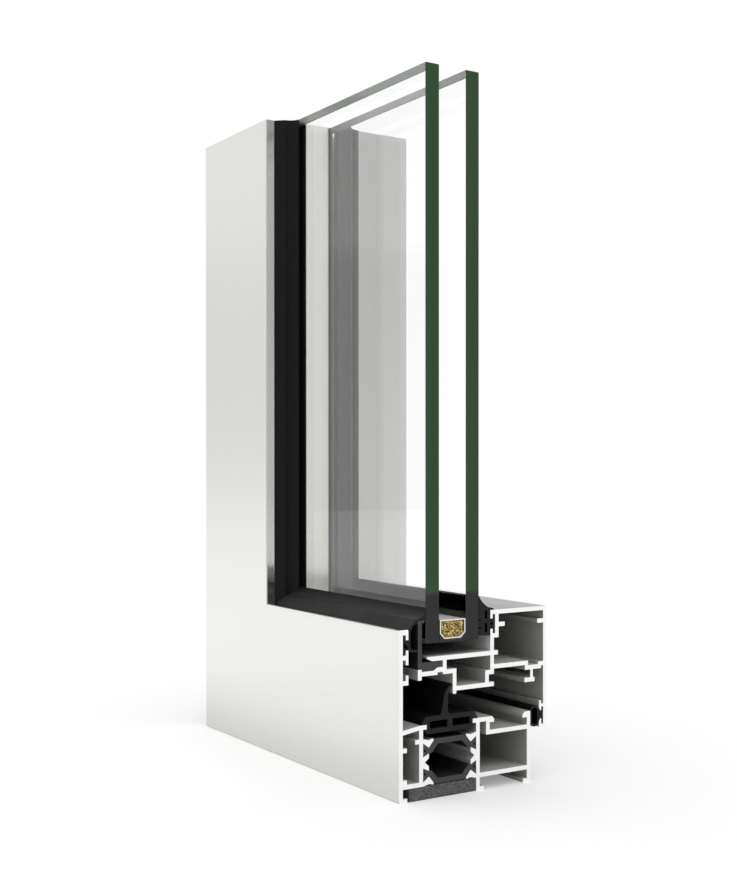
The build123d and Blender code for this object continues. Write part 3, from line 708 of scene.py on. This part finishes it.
bead_finish, tree, shader = new_finish("drying_beads", Specular_IOR_Level=0.3)
grain = use(tree, fine_grain, Grains_per_mm=1.2)
feed(
    tree,
    shader,
    Base_Color=blend(tree, grain["Speck"], GOLD, PALE_GOLD),
    Roughness=spread(tree, grain["Patch"], *BEAD_ROUGHNESS),
)
print(bead_finish.name)

# %% Beads at the sawn ends
BEAD = 0.00044
BEAD_CLEAR = 1.9 * BEAD
BEAD_LAYERS = 5
BEAD_ROOM = 0.0003
BEAD_TRIES = 9000
SPACER_BEVEL = 0.002
WELD = 1e-6
BEAD_SEED = 7
shaker = random.Random(BEAD_SEED)


def bead_places(width, height):
    """Places for one layer of beads, none too close, in a fill that is bevelled at its foot."""
    places = []
    for _ in range(BEAD_TRIES):
        across = shaker.uniform(BEAD, width - BEAD - BEAD_ROOM)
        up = shaker.uniform(BEAD, height - BEAD)
        slope = min(across, width - across) + up - BEAD * math.sqrt(2)
        if slope > SPACER_BEVEL and all(math.dist((across, up), other) > BEAD_CLEAR for other in places):
            places.append((across, up))
    return places


def bead_fill(node, run, lift):
    """Beads at the sawn end of one fill, by the axes that it runs and rises on, over the rest of it."""
    low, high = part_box(node)
    end = high[run] - BEAD
    normal = Vector([float(axis == run) for axis in range(3)])
    mesh = bmesh.new()
    mesh.from_mesh(nodes[node].data)
    bmesh.ops.remove_doubles(mesh, verts=mesh.verts, dist=WELD)
    whole = mesh.verts[:] + mesh.edges[:] + mesh.faces[:]
    back = normal * (end - (BEAD_LAYERS - 1) * BEAD)
    cut = bmesh.ops.bisect_plane(mesh, geom=whole, plane_co=back, plane_no=normal, clear_outer=True)
    rim = [edge for edge in cut["geom_cut"] if isinstance(edge, bmesh.types.BMEdge)]
    bmesh.ops.contextual_create(mesh, geom=rim)
    core = set(mesh.faces)
    for layer in range(BEAD_LAYERS):
        for across, up in bead_places(high.y - low.y, high[lift] - low[lift]):
            centre = Vector((0, low.y + across, 0))
            centre[lift] = low[lift] + up
            centre[run] = end - layer * BEAD
            made = bmesh.ops.create_icosphere(mesh, subdivisions=2, radius=BEAD)
            bmesh.ops.translate(mesh, verts=made["verts"], vec=centre)
    for face in mesh.faces:
        face.smooth = face not in core
    data = bpy.data.meshes.new(node + "_beads")
    mesh.to_mesh(data)
    mesh.free()
    piece = bpy.data.objects.new(node + "_beads", data)
    scene.collection.objects.link(piece)
    data.materials.append(bead_finish)
    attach(piece, "root")
    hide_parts(node)
    print(piece.name, "with", len(data.polygons), "faces")


bead_fill("sill_desiccant", 0, 2)
bead_fill("jamb_desiccant", 2, 0)

# %% [markdown]
# ## Dress the pieces
# The record says which material slot each piece belongs to, so the finishes are handed out by slot. A
# piece's own shape is never changed here.

# %% Hand out the finishes
FINISH_OF_SLOT = {
    "aluminium_frame": aluminium,
    "polyamide": polyamide,
    "foam": foam,
    "rubber_gasket": rubber,
    "glass": clear_glass,
    "spacer_metal": spacer_metal,
    "desiccant": bead_finish,
    "edge_sealant": sealant,
}
for piece in frame["record"]["subparts"]:
    nodes[piece["node"]].material_slots[0].material = FINISH_OF_SLOT[piece["material_slot"]]
